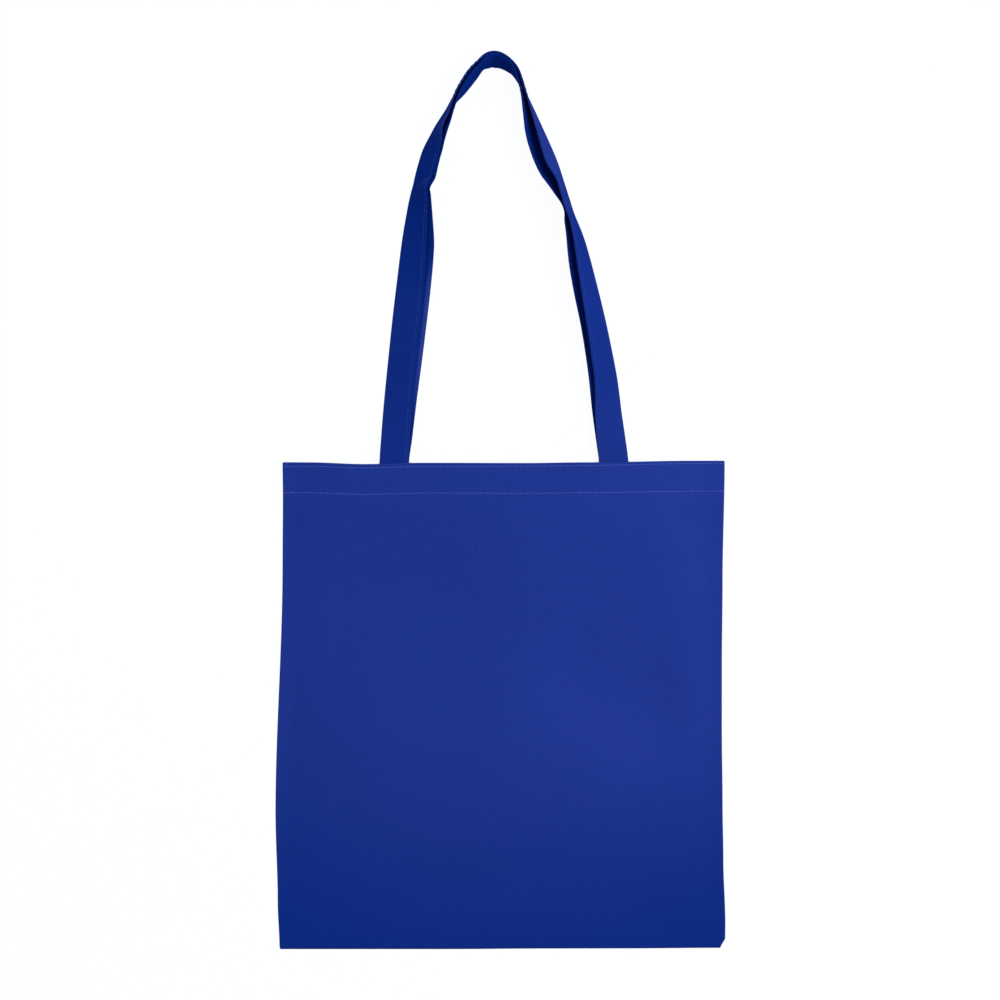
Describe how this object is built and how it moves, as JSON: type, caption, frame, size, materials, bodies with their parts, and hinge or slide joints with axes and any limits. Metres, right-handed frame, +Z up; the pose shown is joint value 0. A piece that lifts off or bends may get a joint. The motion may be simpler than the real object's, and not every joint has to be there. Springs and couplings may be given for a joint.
{
  "type": "non-woven tote bag",
  "caption": "Flat tote bag sewn from blue non-woven polypropylene cloth, with long folded handles, lying on its back.",
  "frame": {"origin": "under the middle of the bag's bounding box, on the surface that it lies on", "axes": "+X across the bag, to the right as seen from its front; +Y from the bottom fold to the mouth and on to the handles; +Z up, out of the front panel"},
  "size_m": [0.3872, 0.7756, 0.027],
  "materials": {
    "body_cloth": "matt spun-bonded polypropylene, with a fine embossed grid of bond points",
    "handle_cloth": "matt spun-bonded polypropylene, folded to a strap of four layers and stitched along one edge"
  },
  "bodies": {
    "root": {"body": "body_cloth", "front_handle": "handle_cloth", "back_handle": "handle_cloth"}
  },
  "joints": []
}
